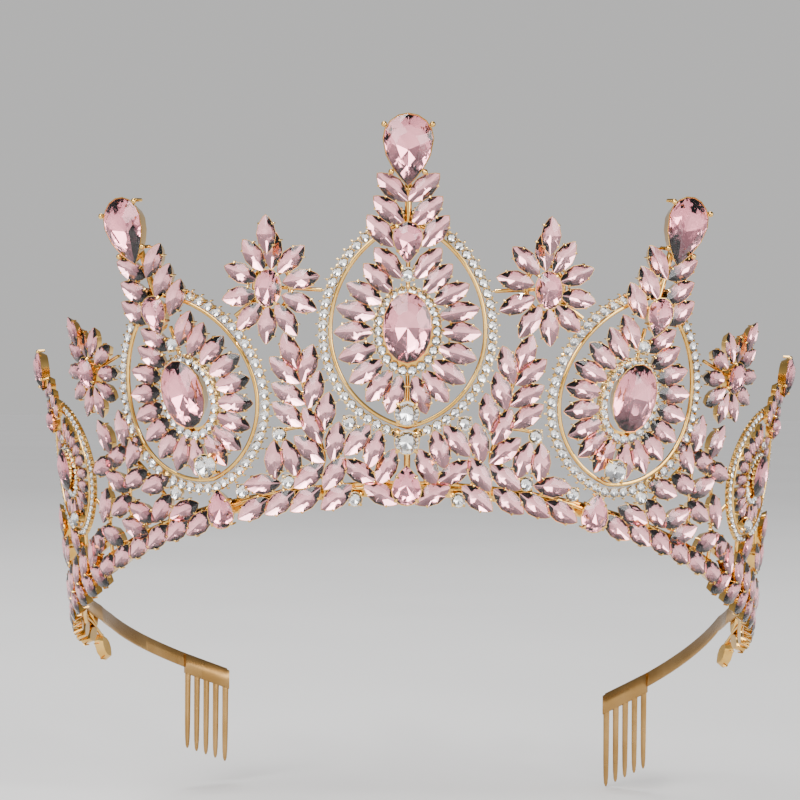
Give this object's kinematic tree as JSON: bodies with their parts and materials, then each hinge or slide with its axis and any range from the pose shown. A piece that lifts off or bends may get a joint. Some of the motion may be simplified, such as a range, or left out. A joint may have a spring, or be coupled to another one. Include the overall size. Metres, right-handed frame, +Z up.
{
  "type": "baroque crown with side combs",
  "caption": "Open-fronted gilt crown of ringed crystal medallions, spires, flower heads and leaf sprays on a band that ends in two side combs.",
  "frame": {"origin": "the middle of the wearer's head at the height of the middle of the front's lower edge, 60 mm behind the front and 36 mm below the middle of the large front oval", "axes": "+X to the viewer's right of the front, +Y from the front to the back of the head, +Z up; the front faces -Y"},
  "size_m": [0.1728, 0.1316, 0.1567],
  "materials": {
    "gold": "polished gilt metal",
    "band_gold": "satin gilt metal",
    "pink_crystal": "pointed cut crystals, pale pink, in gilt settings",
    "large_crystal": "large cut crystals, pale pink",
    "clear_crystal": "round cut crystals, clear"
  },
  "bodies": {
    "root": {"base_band": "gold", "comb_right": "band_gold", "comb_left": "band_gold", "hoop_centre": "gold", "hoop_mid_left": "gold", "hoop_mid_right": "gold", "hoop_end_left": "gold", "hoop_end_right": "gold", "petals_centre": "pink_crystal", "petals_mid_left": "pink_crystal", "petals_mid_right": "pink_crystal", "petals_end_left": "pink_crystal", "petals_end_right": "pink_crystal", "spire_centre": "pink_crystal", "spire_mid_left": "pink_crystal", "spire_mid_right": "pink_crystal", "spire_end_left": "pink_crystal", "spire_end_right": "pink_crystal", "oval_centre": "large_crystal", "oval_mid_left": "large_crystal", "oval_mid_right": "large_crystal", "oval_end_left": "large_crystal", "oval_end_right": "large_crystal", "top_pear_centre": "large_crystal", "top_pear_mid_left": "large_crystal", "top_pear_mid_right": "large_crystal", "top_pear_end_left": "large_crystal", "top_pear_end_right": "large_crystal", "spire_stone_centre": "large_crystal", "spire_stone_mid_left": "large_crystal", "spire_stone_mid_right": "large_crystal", "spire_stone_end_left": "large_crystal", "spire_stone_end_right": "large_crystal", "round_centre": "clear_crystal", "round_mid_left": "clear_crystal", "round_mid_right": "clear_crystal", "round_end_left": "clear_crystal", "round_end_right": "clear_crystal", "base_pear_centre": "large_crystal", "base_pear_left": "large_crystal", "base_pear_right": "large_crystal", "flower_inner_left": "pink_crystal", "flower_inner_right": "pink_crystal", "flower_outer_left": "pink_crystal", "flower_outer_right": "pink_crystal", "flower_stone_inner_left": "large_crystal", "flower_stone_inner_right": "large_crystal", "flower_stone_outer_left": "large_crystal", "flower_stone_outer_right": "large_crystal", "leaves_centre": "pink_crystal", "spray_left": "pink_crystal", "spray_right": "pink_crystal", "leaves_side_left": "pink_crystal", "leaves_side_right": "pink_crystal", "leaves_tail_left": "pink_crystal", "leaves_tail_right": "pink_crystal"}
  },
  "joints": []
}
